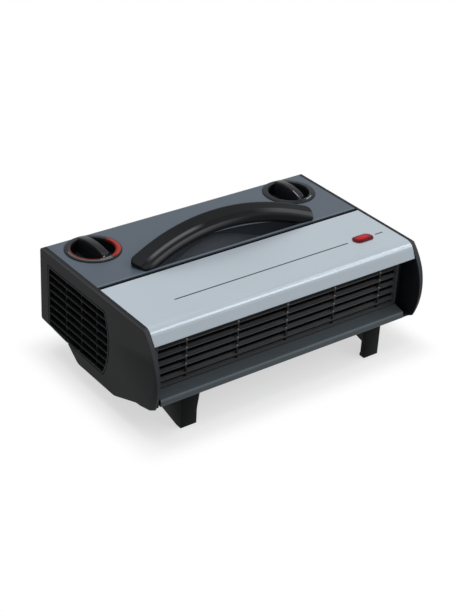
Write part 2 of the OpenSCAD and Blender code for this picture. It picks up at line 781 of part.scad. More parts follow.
// Foot: a front wall with a flared inner edge, an outer wall that tapers to the sole, an
// inner flange, a sole with a toe and a top plate that follows the underside
module foot(side, face_y, way) {
    inner_x = foot_outer_x - foot_w;
    top_z = under_edge_z + 4;
    plate_z = face_y == front_foot_y ? foot_seat_zs[0] : foot_seat_zs[1];
    edge = [[inner_x, 0, 0], [inner_x, sole_t + foot_straight, foot_bend_r],
        [inner_x - foot_flare, top_z, 0]];
    color("#1c1d1f") in_place() other_side(side) difference() {
        translate([0, -face_y, 0]) mirror([0, way < 0 ? 1 : 0, 0]) union() {
            translate([0, foot_wall, 0]) rotate([90, 0, 0]) linear_extrude(foot_wall) polygon(concat(
                fillet_path(edge), [[foot_outer_x, top_z], [foot_outer_x, 0]]));
            translate([0, foot_wall + 5, 0]) rotate([90, 0, 0]) linear_extrude(foot_wall + 5)
                polygon(band(edge, foot_wall - 0.5));
            across(foot_outer_x - foot_wall, foot_outer_x) polygon([
                [0, 0], [sole_l, 0], [foot_top_l, foot_heel_z], [foot_top_l, top_z], [0, top_z]]);
            translate([inner_x, 0, 0]) cube([foot_w, sole_l, sole_t]);
            translate([inner_x, 0, plate_z]) cube([foot_w, foot_plate_l, top_z - plate_z]);
        }
        across(-half_w, half_w) side_shape(0);
        for (y = foot_screw_ys) translate([foot_outer_x - foot_screw_dx, y, under_edge_z])
            screw_hole(foot_screw_l);
    }
}
function fillet_path(path) = concat([xy(path[0])],
    fillet(xy(path[0]), xy(path[1]), xy(path[2]), path[1][2]), [xy(path[2])]);
function band(path, t) = concat(fillet_path(path), [for (i = [2:-1:0]) xy(path[i]) + [t, 0]]);
foot_straight = 16;
foot_bend_r = 30;
foot_plate_l = 30;
foot_screw_ys = [-front_foot_y + foot_screw_in, -rear_foot_y - foot_screw_in];
foot_seat_zs = [under_front_z - 8.5, under_rear_z - 3.7];

module front_foot_left() { foot(-1, front_foot_y, 1); }
module front_foot_right() { foot(1, front_foot_y, 1); }
module rear_foot_left() { foot(-1, rear_foot_y, -1); }
module rear_foot_right() { foot(1, rear_foot_y, -1); }

// Motor: a shaded-pole stack with its coil on the rear leg, two bearing brackets and a cradle
module motor_stator() {
    color("#7d8084") in_place() across(-stack_t / 2, stack_t / 2) difference() {
        translate([stator_y0, stack_low_z]) square([stator_y1 - stator_y0, stack_h]);
        translate([-fan_y, fan_z]) circle(r = rotor_r + air_gap);
        translate([stator_y1 - leg_w - window_w, fan_z - stack_h / 4]) square([window_w, stack_h / 2]);
        for (a = [45, 225]) translate([-fan_y, fan_z]) rotate(a)
            translate([rotor_r - 1, -1.2]) square([5, 2.4]);
    }
}

module motor_coil() {
    h = stack_h / 2 - 2 * coil_gap;
    y1 = stator_y1 + window_w - 2;
    y0 = stator_y1 - leg_w - window_w + coil_gap;
    color("#b5642c") in_place() difference() {
        translate([-stack_t / 2 - 9, y0, fan_z - h / 2]) cube([stack_t + 18, y1 - y0, h]);
        translate([-stack_t / 2 - coil_gap, stator_y1 - leg_w - coil_gap, fan_z - h])
            cube([stack_t + 2 * coil_gap, leg_w + 2 * coil_gap, 2 * h]);
    }
}

module motor_bracket(side) {
    x0 = stack_t / 2;
    x1 = x0 + bracket_reach;
    color("#a9adb0") in_place() other_side(side) difference() {
        union() {
            translate([x1 - bracket_t, -fan_y - bracket_w / 2, stack_low_z])
                cube([bracket_t, bracket_w, stack_h]);
            for (z = [stack_low_z, stack_low_z + stack_h - bracket_t])
                translate([x0, -fan_y - bracket_w / 2, z]) cube([bracket_reach, bracket_w, bracket_t]);
            along_x(x1 - 6, x1 + 5, 7, -fan_y, fan_z);
        }
        along_x(x0, x1 + 10, shaft_r + run_gap, -fan_y, fan_z);
    }
}
module motor_bracket_left() { motor_bracket(-1); }
module motor_bracket_right() { motor_bracket(1); }

module motor_mount() {
    low_z = belly_z + skin;
    color("#8f9498") in_place() translate([0, -fan_y, 0]) {
        translate([-stack_t / 2 - cradle_edge, -cradle_l / 2, low_z])
            cube([stack_t + 2 * cradle_edge, cradle_l, 2]);
        for (y = [-cradle_l / 2, cradle_l / 2 - 2])
            translate([-stack_t / 2, y, low_z]) cube([stack_t, 2, stack_low_z - low_z]);
    }
}

module motor_rotor() {
    color("#9b9fa3") in_place() difference() {
        along_x(-stack_t / 2 - 1, stack_t / 2 + 1, rotor_r, -fan_y, fan_z);
        along_x(-stack_t, stack_t, shaft_r, -fan_y, fan_z);
    }
}

module fan_shaft() {
    color("#c9ccd0") in_place() along_x(-shaft_half_l, shaft_half_l, shaft_r, -fan_y, fan_z);
}

// Impeller: forward-curved blades between a backplate with its hub and an end ring
module impeller_blade() {
    r = blade_depth * 0.75;
    translate([impeller_r - blade_depth / 2 - 0.6, 0]) translate([0, -r * 0.6]) intersection() {
        difference() {
            circle(r = r + blade_t, $fn = 48);
            circle(r = r, $fn = 48);
        }
        translate([-blade_depth / 2, 0]) square([blade_depth, r + 2]);
    }
}

module impeller(side) {
    x0 = impeller_x;
    color("#3b4046") in_place() other_side(side) difference() {
        union() {
            along_x(x0, x0 + 1.6, impeller_r, -fan_y, fan_z);
            along_x(x0, x0 + 14, shaft_r + 5, -fan_y, fan_z);
            across(x0 + impeller_l - 3, x0 + impeller_l) translate([-fan_y, fan_z]) difference() {
                circle(r = impeller_r);
                circle(r = impeller_r - blade_depth);
            }
            across(x0 + 1, x0 + impeller_l - 2) translate([-fan_y, fan_z])
                for (i = [0:blade_count - 1]) rotate(i * 360 / blade_count) impeller_blade();
        }
        along_x(x0 - 1, x0 + 20, shaft_r, -fan_y, fan_z);
    }
}
module impeller_left() { impeller(-1); }
module impeller_right() { impeller(1); }

// Blower housing: a scroll that widens from the cut-off round to the mouth
scroll_steps = 30;
function scroll_outline(grow) = concat(
    [for (i = [0:scroll_steps]) let (t = i / scroll_steps, a = 180 + 270 * t,
        r = scroll_r0 + (scroll_r1 - scroll_r0) * t + grow) [-fan_y + r * cos(a), fan_z + r * sin(a)]],
    [[-mouth_y, mouth_high_z + grow], [-mouth_y, mouth_low_z - grow]]);

module blower_housing(side) {
    x0 = blower_x;
    x1 = x0 + blower_l;
    low_z = belly_z + skin;
    color("#4a4f55") in_place() other_side(side) difference() {
        union() {
            across(x0, x1) polygon(scroll_outline(0));
            translate([x0, -fan_y - 14, low_z]) cube([blower_l, 28, 12]);
            along_x(x1 - 1, x1 + 2, impeller_r + 2, -fan_y, fan_z);
        }
        across(x0 + scroll_wall, x1 - scroll_wall) union() {
            polygon(scroll_outline(-scroll_wall));
            translate([-mouth_y - 5, mouth_low_z + scroll_wall])
                square([20, mouth_high_z - mouth_low_z - 2 * scroll_wall]);
        }
        along_x(x0 - 1, x0 + 5, 12, -fan_y, fan_z);
        along_x(x1 - 5, x1 + 5, impeller_r - 2, -fan_y, fan_z);
    }
}
module blower_housing_left() { blower_housing(-1); }
module blower_housing_right() { blower_housing(1); }

// Outlet duct: a box open to the grille, with a mouth for each blower
module outlet_duct() {
    color("#9aa0a5") in_place() difference() {
        translate([-duct_half_w, -grille_back, duct_low_z])
            cube([2 * duct_half_w, grille_back - mouth_y, duct_high_z - duct_low_z]);
        translate([-duct_half_w + duct_wall, -grille_back - 1, duct_low_z + duct_wall])
            cube([2 * (duct_half_w - duct_wall), grille_back - mouth_y - duct_wall + 1,
                duct_high_z - duct_low_z - 2 * duct_wall]);
        for (s = [-1, 1]) other_side(s)
            translate([blower_x + scroll_wall, -mouth_y - 5, mouth_low_z + scroll_wall])
                cube([blower_l - 2 * scroll_wall, 10, mouth_high_z - mouth_low_z - 2 * scroll_wall]);
    }
}

// Heating elements: hairpin runs held by mica boards
module element(z) {
    for (s = [0, 1]) along_x(-run_half_w, run_half_w, element_d / 2, element_y, z + s * element_gap);
    translate([run_half_w, element_y, z + element_gap / 2]) rotate([90, 0, 0]) rotate([0, 0, -90])
        rotate_extrude(angle = 180) translate([element_gap / 2, 0]) circle(d = element_d);
}
module heating_element_low() { color("#8c4a2a") in_place() element(element_low_z); }
module heating_element_high() { color("#8c4a2a") in_place() element(element_high_z); }

module element_frame() {
    low_z = duct_low_z + duct_wall;
    color("#c9b98a") in_place() for (i = [0:mica_count - 1])
        translate([(i - (mica_count - 1) / 2) * mica_pitch - mica_t / 2, 0, 0]) difference() {
            translate([0, element_y - mica_w / 2, low_z])
                cube([mica_t, mica_w, duct_high_z - duct_wall - low_z]);
            for (z = [element_low_z, element_high_z], s = [0, 1])
                along_x(-1, mica_t + 1, element_d / 2 + 0.3, element_y, z + s * element_gap);
        }
}

module thermal_cutout() {
    color("#b9bdc2") in_place() translate([40, element_y + 12, duct_high_z]) {
        cylinder(h = 4, r = cutout_r);
        translate([0, 0, 4]) cylinder(h = 3, r = cutout_r - 3);
        translate([-cutout_r - 5, -3, 0]) cube([2 * cutout_r + 10, 6, 0.8]);
    }
}

module terminal_block() {
    edge = (block_size[0] - 3 * block_pitch) / 2;
    color("#e6e2d6") in_place()
        translate([block_place[0], -skin - block_size[1], block_place[1]]) difference() {
            cube(block_size);
            for (i = [0:3]) translate([edge + i * block_pitch, block_size[1] / 2, 4])
                cylinder(h = block_size[2], r = block_hole_r);
            for (i = [0:2]) translate([edge + (i + 0.5) * block_pitch - 0.6, -1, block_size[2] - 5])
                cube([1.2, block_size[1] + 2, 8]);
        }
}

// Cord gland: a flange behind the rear panel, a barrel through it and a nut inside
module cord_gland() {
    color("#1a1b1d") in_place() translate([-gland_x, gland_out, gland_z]) rotate([90, 0, 0]) difference() {
        union() {
            cylinder(h = gland_out, r = cord_r + 7);
            cylinder(h = gland_out + skin + 12, r = cord_r + 4);
            translate([0, 0, gland_out + skin]) cylinder(h = 5, r = cord_r + 7, $fn = 6);
        }
        translate([0, 0, -1]) cylinder(h = 40, r = cord_r);
    }
}

// Screws
module handle_screws() {
    color("#c4c7ca") in_place() for (s = [-1, 1])
        translate([s * handle_screw_x, handle_screw_y, body_top - skin]) screw(skin + 3);
}
module rear_screws() {
    color("#2b2c2e") in_place() for (x = rear_screw_xs)
        translate([x, 0, rear_screw_z]) rotate([90, 0, 0]) screw(rear_screw_l);
}
module foot_screws() {
    color("#c4c7ca") in_place() for (s = [-1, 1], i = [0, 1])
        translate([s * (foot_outer_x - foot_screw_dx), foot_screw_ys[i], foot_seat_zs[i]]) screw(foot_screw_l);
}

top_cover();
front_panel();
rear_panel();
base_pan();
left_end_cap();
right_end_cap();
lower_trim();
outlet_grille();
handle();
handle_recess();
thermostat_dial_ring();
selector_dial_ring();
thermostat_knob();
selector_knob();
thermostat_spindle();
selector_spindle();
thermostat_body();
selector_switch_body();
indicator_lens();
indicator_body();
front_foot_left();
front_foot_right();
rear_foot_left();
rear_foot_right();
motor_stator();
motor_coil();
motor_bracket_left();
motor_bracket_right();
motor_mount();
motor_rotor();
fan_shaft();
impeller_left();
impeller_right();
blower_housing_left();
blower_housing_right();
outlet_duct();
element_frame();
heating_element_low();
heating_element_high();
thermal_cutout();
terminal_block();
cord_gland();
handle_screws();
rear_screws();
foot_screws();
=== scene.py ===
import json
import math

import bmesh
import bpy
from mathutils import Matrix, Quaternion, Vector

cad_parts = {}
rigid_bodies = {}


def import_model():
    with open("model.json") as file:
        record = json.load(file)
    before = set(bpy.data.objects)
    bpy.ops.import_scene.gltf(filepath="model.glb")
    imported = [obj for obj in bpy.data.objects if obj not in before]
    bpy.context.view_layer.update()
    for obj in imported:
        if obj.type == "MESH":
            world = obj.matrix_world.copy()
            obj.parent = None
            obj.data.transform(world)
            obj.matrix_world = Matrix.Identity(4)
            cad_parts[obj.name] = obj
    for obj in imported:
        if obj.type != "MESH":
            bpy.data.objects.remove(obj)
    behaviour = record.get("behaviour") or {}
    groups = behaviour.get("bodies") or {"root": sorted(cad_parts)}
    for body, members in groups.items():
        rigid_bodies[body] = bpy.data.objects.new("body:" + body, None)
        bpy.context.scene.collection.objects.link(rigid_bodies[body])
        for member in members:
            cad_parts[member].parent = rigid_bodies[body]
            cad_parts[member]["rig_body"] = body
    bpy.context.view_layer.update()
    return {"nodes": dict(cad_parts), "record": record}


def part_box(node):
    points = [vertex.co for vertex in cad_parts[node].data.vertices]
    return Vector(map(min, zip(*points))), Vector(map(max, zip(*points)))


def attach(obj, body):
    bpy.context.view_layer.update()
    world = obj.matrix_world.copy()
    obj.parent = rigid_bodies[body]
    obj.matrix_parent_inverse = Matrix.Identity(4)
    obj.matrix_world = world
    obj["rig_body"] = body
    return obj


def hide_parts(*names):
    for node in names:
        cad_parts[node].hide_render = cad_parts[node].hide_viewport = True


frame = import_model()
nodes = frame["nodes"]
bpy.ops.object.select_all(action="DESELECT")

# Sizes and places in metres. The rear panel's outer face lies at y = REAR, the cover at z = TOP
REAR = 0.124
TOP = 0.145
HALF_W = 0.2
HALF_D = 0.125
DIAL_X = 0.1495
DIAL_Y = REAR - 0.038
WELL_R = 0.027
SEAM_Y = REAR - 0.1205
SEAM_FRONT_Y = REAR - 0.1243
LAMP = Vector((0.1475, REAR - 0.1875, TOP))
STRIPE_Y = REAR - 0.187
TRIM_BEND = Vector((0, REAR - 0.2365, 0.0534))
THERMOSTAT_TURN = -3
SELECTOR_TURN = 2

# The round front edge of the end caps
FRONT_CURVE_Y = REAR - 0.166
FRONT_CURVE_Z = 0.083
FRONT_CURVE_R = 0.084

# The handle: its arch's radius, tilt from level and centre, and its noses
ARCH_R = 0.32
ARCH_TILT = math.radians(60)
ARCH_Y = REAR - 0.077 - ARCH_R * math.cos(ARCH_TILT)
ARCH_Z = TOP + 0.035 - ARCH_R * math.sin(ARCH_TILT)
NOSE_FROM_X = 0.113
NOSE_Y = REAR - 0.103
NOSE_REACH = 0.0036

# The outlet grille: its slats, the bars and rods that cross them, and its sill. Insets are from the rear
GRILLE_FRONT_Y = REAR - 0.222
SLATS = 6
SLAT_LOW_Z = 0.0675
SLAT_PITCH = 0.0108
SLAT_T = 0.002
SLAT_FALL = 0.002
BARS = 5
BAR_PITCH = 0.0728
BAR_D = 0.0076
BAR_INSET = 0.0042
ROD_SHIFT = 0.0062
GRILLE_SILL_TOP = 0.0622
GRILLE_SILL_D = 0.0057
GRILLE_SILL_INSET = 0.0083

# Camera
CAMERA_AZIMUTH = math.radians(-38.09)
CAMERA_HEIGHT_ANGLE = math.radians(30.62)
CAMERA_ROLL = math.radians(3.2)
CAMERA_DISTANCE = 1.7571
CAMERA_LENS = 84.44
CAMERA_TARGET = Vector((-0.0143, -0.0115, 0.0728))


def set_camera():
    """The camera, at the photograph's viewing angle."""
    level = math.cos(CAMERA_HEIGHT_ANGLE)
    back = Vector((math.sin(CAMERA_AZIMUTH) * level, -math.cos(CAMERA_AZIMUTH) * level,
                   math.sin(CAMERA_HEIGHT_ANGLE)))
    bpy.ops.object.camera_add(location=CAMERA_TARGET + back * CAMERA_DISTANCE)
    camera = bpy.context.object
    camera.rotation_mode = "QUATERNION"
    camera.rotation_quaternion = back.to_track_quat("Z", "Y") @ Quaternion((0, 0, 1), CAMERA_ROLL)
    camera.data.lens = CAMERA_LENS
    camera.data.sensor_width = 36
    camera.select_set(False)
    bpy.context.scene.camera = camera


# Materials
class Number:
    """A value in a material: an expression on it adds the Math nodes that work it out."""

    def __init__(self, finish, socket):
        self.finish = finish
        self.socket = socket

    def math(self, operation, *values):
        return self.finish.node("ShaderNodeMath", {"operation": operation}, values)

    def __add__(self, other):
        return self.math("ADD", self, other)

    def __sub__(self, other):
        return self.math("SUBTRACT", self, other)

    def __rsub__(self, other):
        return self.math("SUBTRACT", other, self)

    def __mul__(self, other):
        return self.math("MULTIPLY", self, other)

    def __truediv__(self, other):
        return self.math("DIVIDE", self, other)

    def __gt__(self, other):
        return self.math("GREATER_THAN", self, other)

    def __lt__(self, other):
        return self.math("LESS_THAN", self, other)

    def __abs__(self):
        return self.math("ABSOLUTE", self)

    def most(self, other):
        return self.math("MAXIMUM", self, other)

    def root(self):
        return self.math("SQRT", self)

    def between(self, low, high):
        """1 where the value lies between low and high, and 0 elsewhere."""
        return (self > low) * (self < high)

    def ramp(self, low, high):
        """A smooth step from 0 at low to 1 at high."""
        return self.finish.node("ShaderNodeMapRange", {"interpolation_type": "SMOOTHSTEP"},
                                {"Value": self, "From Min": low, "From Max": high})


class Finish:
    """The nodes of one material."""

    def __init__(self, tree):
        self.tree = tree
        tree.nodes.clear()
        self.coordinates = None
        self.axes = None

    def node(self, kind, settings=None, sockets=None, out=0):
        """Adds a node, sets it, fills its sockets with values or links and gives one output."""
        made = self.tree.nodes.new(kind)
        for name, value in (settings or {}).items():
            setattr(made, name, value)
        pairs = sockets.items() if isinstance(sockets, dict) else enumerate(sockets or ())
        for key, value in pairs:
            if isinstance(value, Number):
                self.tree.links.new(value.socket, made.inputs[key])
            else:
                made.inputs[key].default_value = value
        return Number(self, made.outputs[out]) if made.outputs else made

    def where(self):
        """The place on the piece, as a vector."""
        if self.coordinates is None:
            self.coordinates = self.node("ShaderNodeTexCoord", out="Object")
        return self.coordinates

    def place(self):
        """The place on the piece, as its x, y and z."""
        if self.axes is None:
            split = self.node("ShaderNodeSeparateXYZ", sockets=[self.where()]).socket.node
            self.axes = [Number(self, split.outputs[i]) for i in range(3)]
        return self.axes

    def noise(self, scale, detail=2.0, stretch=(1, 1, 1)):
        """Soft noise, from about 0.3 to 0.7, with scale spots to the metre."""
        vector = self.node("ShaderNodeMapping", sockets={"Vector": self.where(), "Scale": stretch})
        return self.node("ShaderNodeTexNoise",
                         sockets={"Vector": vector, "Scale": scale, "Detail": detail})

    def blend(self, first, second, share):
        """A colour between first and second."""
        return self.node("ShaderNodeMix", {"data_type": "RGBA"}, {0: share, 6: first, 7: second}, 2)

    def surface(self, colour, roughness, height, depth, metallic=0.0, specular=0.5):
        """The shader and the material's output. Depth is the relief's height in metres."""
        relief = self.node("ShaderNodeBump", sockets={
            "Strength": 1.0, "Distance": depth, "Height": height})
        shader = self.node("ShaderNodeBsdfPrincipled", sockets={
            "Base Color": colour, "Roughness": roughness, "Metallic": metallic,
            "Specular IOR Level": specular, "Normal": relief})
        self.node("ShaderNodeOutputMaterial", sockets={"Surface": shader})


def shade(red, green, blue):
    """A colour as it shows on a screen, 0 to 255, as light."""
    parts = []
    for part in (red, green, blue):
        part = part / 255
        parts.append(part / 12.92 if part < 0.04045 else ((part + 0.055) / 1.055) ** 2.4)
    return (*parts, 1.0)


def scaled(colour, factor):
    return (*[part * factor for part in colour[:3]], 1.0)


def coat(finish, colour, roughness, grain, depth, vary, specular):
    """A paint or a moulded plastic: faintly cloudy, with a fine grain and an uneven gloss."""
    cloud = finish.noise(13, 3)
    fine = finish.noise(grain)
    tone = finish.blend(scaled(colour, 1 - vary), scaled(colour, 1 + vary), cloud * 0.8 + fine * 0.8 - 0.3)
    gloss = cloud * 0.12 + fine * 0.1 + (roughness - 0.11)
    finish.surface(tone, gloss, fine, depth, specular=specular)


def brushed(finish, colour, roughness, along=(1, 1, 1)):
    """Rolled or ground steel, with fine lines in the direction for which along is least."""
    lines = finish.noise(1600, 3, along)
    cloud = finish.noise(22, 3)
    tone = finish.blend(scaled(colour, 0.75), scaled(colour, 1.2), lines * 0.7 + cloud * 0.6 - 0.15)
    finish.surface(tone, lines * 0.25 + cloud * 0.15 + (roughness - 0.2), lines, 0.00001, 0.9)


# Colours as they show on a screen
COVER = shade(73, 83, 94)
TRIM = shade(76, 84, 88)
SILVER = shade(171, 181, 189)
PANEL_BLACK = shade(38, 40, 42)
CAP = shade(26, 27, 29)
# Painted light and shade on the grille: slat tops a lighter grey than the front edges, their rear in
# painted shadow
GRILLE = shade(88, 89, 91)
GRILLE_EDGE = shade(64, 65, 67)
GRILLE_PAINTED_SHADOW = shade(8, 8, 9)
HANDLE = shade(22, 24, 26)
# Painted highlight for the handle's ridges
HANDLE_PAINTED_HIGHLIGHT = shade(96, 97, 98)
RECESS = shade(84, 90, 97)
DIAL = shade(33, 35, 38)
BAND = shade(32, 36, 40)
KNOB = shade(26, 27, 31)
RED = shade(158, 42, 32)
WHITE = shade(225, 225, 228)


def cover_paint(finish):
    """Satin paint, with a painted highlight along the bend before the hand recess and painted shade at its
    edge.
    """
    x, y, z = finish.place()
    fine = finish.noise(1100)
    cloud = finish.noise(13, 3)
    paint = finish.blend(scaled(COVER, 0.95), scaled(COVER, 1.05), cloud * 0.8 + fine * 0.8 - 0.3)
    # Painted highlight along the rounded bend before the hand recess
    bend = abs(y - SEAM_Y - 0.0028).ramp(0.0014, 0.0007) * (z > TOP - 0.002)
    tone = finish.blend(paint, scaled(COVER, 1.7), bend * (cloud * 0.9 + 0.3))
    # Painted shade: the edge by the seam goes nearly black
    tone = finish.blend(tone, scaled(COVER, 0.12), (y < SEAM_Y + 0.0013) * (z > TOP - 0.01))
    finish.surface(tone, cloud * 0.12 + fine * 0.1 + 0.29, fine, 0.000012, specular=0.18)


def trim_paint(finish):
    """The cover's paint on the trim, with a painted highlight along its bend."""
    x, y, z = finish.place()
    fine = finish.noise(1100)
    cloud = finish.noise(11, 3)
    paint = finish.blend(scaled(TRIM, 0.95), scaled(TRIM, 1.05), cloud * 0.8 + fine * 0.8 - 0.3)
    # Painted highlight along the trim's bend
    bend = abs(y - TRIM_BEND.y).ramp(0.0008, 0.0003) * (z > TRIM_BEND.z - 0.0025)
    tone = finish.blend(paint, scaled(TRIM, 1.7), bend * (cloud * 0.9 + 0.4))
    finish.surface(tone, cloud * 0.12 + fine * 0.1 + 0.26, fine, 0.000012, specular=0.2)


def silver_paint(finish):
    """Silver paint with a printed pinstripe, and painted shade in the channel where it meets the cover."""
    x, y, z = finish.place()
    flakes = finish.noise(2600, 2)
    cloud = finish.noise(9, 3)
    paint = finish.blend(scaled(SILVER, 0.93), scaled(SILVER, 1.07), flakes * 0.9 + cloud * 0.7 - 0.3)
    stripe = abs(y - STRIPE_Y).ramp(0.0012, 0.0009)
    runs = x.between(-0.134, 0.124) + x.between(0.168, 0.1805)
    top = z > TOP - 0.0005
    tone = finish.blend(paint, shade(40, 49, 58), stripe * runs * top)
    # Painted shade: the channel by the cover goes nearly black and is not metallic
    channel = (y > SEAM_FRONT_Y) * (z < TOP - 0.0006)
    tone = finish.blend(tone, shade(12, 17, 22), channel)
    finish.surface(tone, flakes * 0.12 + 0.25, finish.noise(1100), 0.000008, (1 - channel) * 0.3,
                   specular=0.3)


def panel_black(finish):
    coat(finish, PANEL_BLACK, 0.5, 900, 0.00003, 0.08, 0.2)


def cap_plastic(finish):
    """Grained charcoal plastic, with painted highlights on the front rim and along the top outer edge."""
    x, y, z = finish.place()
    fine = finish.noise(2200)
    cloud = finish.noise(13, 3)
    plain = finish.blend(scaled(CAP, 0.93), scaled(CAP, 1.07), cloud * 0.8 + fine * 0.8 - 0.3)
    side = abs(x)
    along = y - FRONT_CURVE_Y
    up = z - FRONT_CURVE_Z
    radius = (along * along + up * up).root()
    # Painted highlights: the front rim and the top outer edge are painted paler
    rim = (radius > FRONT_CURVE_R - 0.0004) * (side < HALF_W - 0.0002) * (y < FRONT_CURVE_Y)
    edge = (side > HALF_W - 0.0016) * (z > TOP - 0.0015)
    tone = finish.blend(plain, scaled(CAP, 5.5), rim.most(edge) * (cloud * 0.8 + 0.4))
    finish.surface(tone, cloud * 0.12 + fine * 0.1 + 0.39, fine, 0.00005, specular=0.08)


def grille_plastic(finish):
    """Black plastic with the slat tops painted a lighter grey as painted light, a painted shadow toward
    their rear and a darker front edge.
    """
    x, y, z = finish.place()
    fine = finish.noise(1500)
    cloud = finish.noise(20, 3)
    # Painted light: the slat tops are a lighter grey than the slats' own black
    painted_top_tone = finish.blend(scaled(GRILLE, 0.8), scaled(GRILLE, 1.2), cloud * 1.4 - 0.2)
    # Painted shadow of the slat above, across the rear of each top
    painted_top_tone = finish.blend(painted_top_tone, GRILLE_PAINTED_SHADOW, y.ramp(GRILLE_FRONT_Y + 0.005, GRILLE_FRONT_Y + 0.0068))
    tone = finish.blend(painted_top_tone, GRILLE_EDGE, y < GRILLE_FRONT_Y + 0.0012)
    finish.surface(tone, cloud * 0.12 + fine * 0.1 + 0.29, fine, 0.00002, specular=0.15)


def handle_plastic(finish):
    """Charcoal plastic, with painted highlights along the two ridges of the arch and painted shade in the
    groove between them.
    """
    x, y, z = finish.place()
    flat = (y - ARCH_Y) * math.cos(ARCH_TILT) + (z - ARCH_Z) * math.sin(ARCH_TILT)
    rise = (z - ARCH_Z) * math.cos(ARCH_TILT) - (y - ARCH_Y) * math.sin(ARCH_TILT)
    out = (x * x + flat * flat).root() - ARCH_R
    before = rise * math.sin(ARCH_TILT) - out * math.cos(ARCH_TILT)
    fine = finish.noise(1500)
    cloud = finish.noise(24, 3)
    plain = finish.blend(scaled(HANDLE, 0.9), scaled(HANDLE, 1.1), cloud * 0.8 + fine * 0.8 - 0.3)
    # Painted highlights along the two ridges, toward the ends of the arch
    left = abs(before - 0.0198).ramp(0.0026, 0.0006) * x.ramp(-0.122, -0.106) * x.ramp(-0.026, -0.052)
    right = abs(before - 0.0195).ramp(0.0042, 0.0015) * x.ramp(0.04, 0.088)
    low_ridge = abs(before - 0.0267).ramp(0.0015, 0.0005) * x.ramp(-0.124, -0.108) * x.ramp(0.05, -0.05)
    # Painted shade in the groove between the ridges
    groove = abs(before - 0.0236).ramp(0.0012, 0.0004)
    tone = finish.blend(plain, scaled(HANDLE, 0.6), groove)
    tone = finish.blend(tone, HANDLE_PAINTED_HIGHLIGHT, left * 0.85 + right * 0.5)
    tone = finish.blend(tone, HANDLE_PAINTED_HIGHLIGHT, low_ridge * 0.6)
    finish.surface(tone, cloud * 0.12 + fine * 0.1 + 0.29, fine, 0.00002, specular=0.05)


def recess_plastic(finish):
    coat(finish, RECESS, 0.5, 1500, 0.00003, 0.06, 0.16)


def round_dial(finish, centre_x):
    """A point's distance from a dial's axis, its direction in degrees from +x, and its height."""
    x, y, z = finish.place()
    across = x - centre_x
    along = y - DIAL_Y
    radius = (across * across + along * along).root()
    turn = along.math("ARCTAN2", along, across) * (180 / math.pi)
    return radius, turn, z


def dial_plastic(finish, side=-1):
    """A dial ring with its printed scale: a red wedge for the heat, or plain ticks."""
    radius, turn, z = round_dial(finish, side * DIAL_X)
    fine = finish.noise(1800)
    plain = finish.blend(scaled(DIAL, 0.3), scaled(DIAL, 0.5), fine)
    band = radius.between(WELL_R - 0.0002, 0.0341) * (z > TOP - 0.0012)
    plain = finish.blend(plain, finish.blend(scaled(BAND, 0.85), scaled(BAND, 1.2), fine), band)
    if side < 0:
        middle = abs(turn + 24)
        outer = middle * middle * (-0.0027 / 2500) + 0.0334
        crescent = (radius < outer) * (middle < 48)
        line = radius.between(0.0278, 0.0288) * ((turn > 137).most(turn < -105))
        pale = radius.between(0.0299, 0.0315) * ((turn < -105).most(turn > 165))
        grey = radius.between(0.0278, 0.0322) * turn.between(-105, -74)
        tone = finish.blend(plain, shade(100, 98, 96), pale.most(grey) * band)
        tone = finish.blend(tone, scaled(RED, 0.6), line * band)
        # Painted shade: the red crescent goes darker toward its inner edge
        red_with_painted_shade = finish.blend(scaled(RED, 0.4), RED, radius.ramp(0.0285, 0.0303))
        tone = finish.blend(tone, red_with_painted_shade, crescent * band)
    else:
        mark = radius.between(0.0296, 0.0309) * turn.between(-80, -56)
        line = radius.between(0.0278, 0.0284) * (turn.between(-150, 120))
        tone = finish.blend(plain, shade(62, 64, 67), line * band)
        tone = finish.blend(tone, shade(150, 152, 156), mark * band)
    well = radius < WELL_R - 0.0001
    tone = finish.blend(tone, shade(14, 14, 15), well)
    finish.surface(tone, fine * 0.1 + 0.3, fine, 0.00001, specular=0.07)


def knob_plastic(finish, side=-1):
    """A knob with its pointer printed on the front end of the grip, and that front end painted lighter as
    a painted highlight.
    """
    x, y, z = finish.place()
    turn = math.radians(THERMOSTAT_TURN if side < 0 else SELECTOR_TURN)
    across = x - side * DIAL_X
    along = y - DIAL_Y
    forward = across * -math.sin(turn) + along * -math.cos(turn)
    sideways = across * math.cos(turn) - along * math.sin(turn)
    front_end = (forward > 0.0251) * (z > TOP + 0.0006)
    if side < 0:
        mark = front_end * sideways.between(-0.0032, -0.0014) * z.between(TOP + 0.0015, TOP + 0.0034)
    else:
        slant = (z * -1 + (TOP + 0.0063)).most(0.0) * 0.75 * (forward > 0.025)
        mark = (forward > 0.0135) * (sideways - slant).between(-0.0043, -0.0033) * (z > TOP + 0.0006)
    fine = finish.noise(1600)
    cloud = finish.noise(30)
    base = finish.blend(scaled(KNOB, 0.9), scaled(KNOB, 1.15), cloud)
    # Painted highlight: the grip's front end is painted lighter
    base = finish.blend(base, shade(64, 66, 73), front_end)
    tone = finish.blend(base, WHITE if side < 0 else shade(150, 148, 150), mark)
    finish.surface(tone, fine * 0.12 + 0.22, fine, 0.000006, specular=0.14)


def lens_red(finish):
    """Clear red plastic, painted brighter in the middle as a painted glow, and darker toward the rim."""
    x, y, z = finish.place()
    across = (x - LAMP.x) / 0.0125
    along = (y - LAMP.y) / 0.0052
    away = across * across + along * along
    fine = finish.noise(900)
    ribs = x.math("PINGPONG", x, 0.0008) * 1200
    # Painted glow: brighter red in the middle, fading outwards to a darker rim
    glow = finish.blend(shade(186, 12, 28), shade(118, 12, 26), away.ramp(0.0, 1.0))
    tone = finish.blend(glow, shade(92, 20, 30), away.ramp(1.0, 1.45))
    finish.surface(tone, fine * 0.1 + 0.1, ribs, 0.00004, specular=0.07)


def foot_plastic(finish):
    coat(finish, shade(16, 17, 18), 0.45, 1800, 0.00004, 0.06, 0.06)


